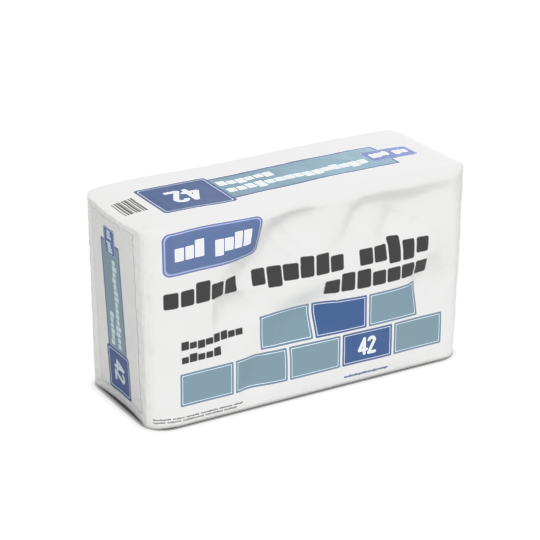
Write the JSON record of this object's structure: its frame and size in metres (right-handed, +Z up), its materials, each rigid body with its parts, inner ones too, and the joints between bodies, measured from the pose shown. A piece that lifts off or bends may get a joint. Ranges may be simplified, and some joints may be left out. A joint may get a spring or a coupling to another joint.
{
  "type": "cement bag",
  "caption": "Filled paper cement sack, block shaped with pasted flat ends, standing on one long narrow side.",
  "frame": {"origin": "middle of the bounding box's footprint, on the floor", "axes": "+X along the sack's length towards the hidden end, -Y out of the broad printed front, +Z up"},
  "size_m": [0.5124, 0.2072, 0.2928],
  "materials": {
    "sack_paper": "smooth matte, printed",
    "patch_paper": "smooth matte",
    "sleeve_paper": "plain kraft, matte"
  },
  "bodies": {
    "root": {"sack": "sack_paper", "end_patch_left": "patch_paper", "end_patch_right": "patch_paper", "valve_sleeve": "sleeve_paper"}
  },
  "joints": []
}
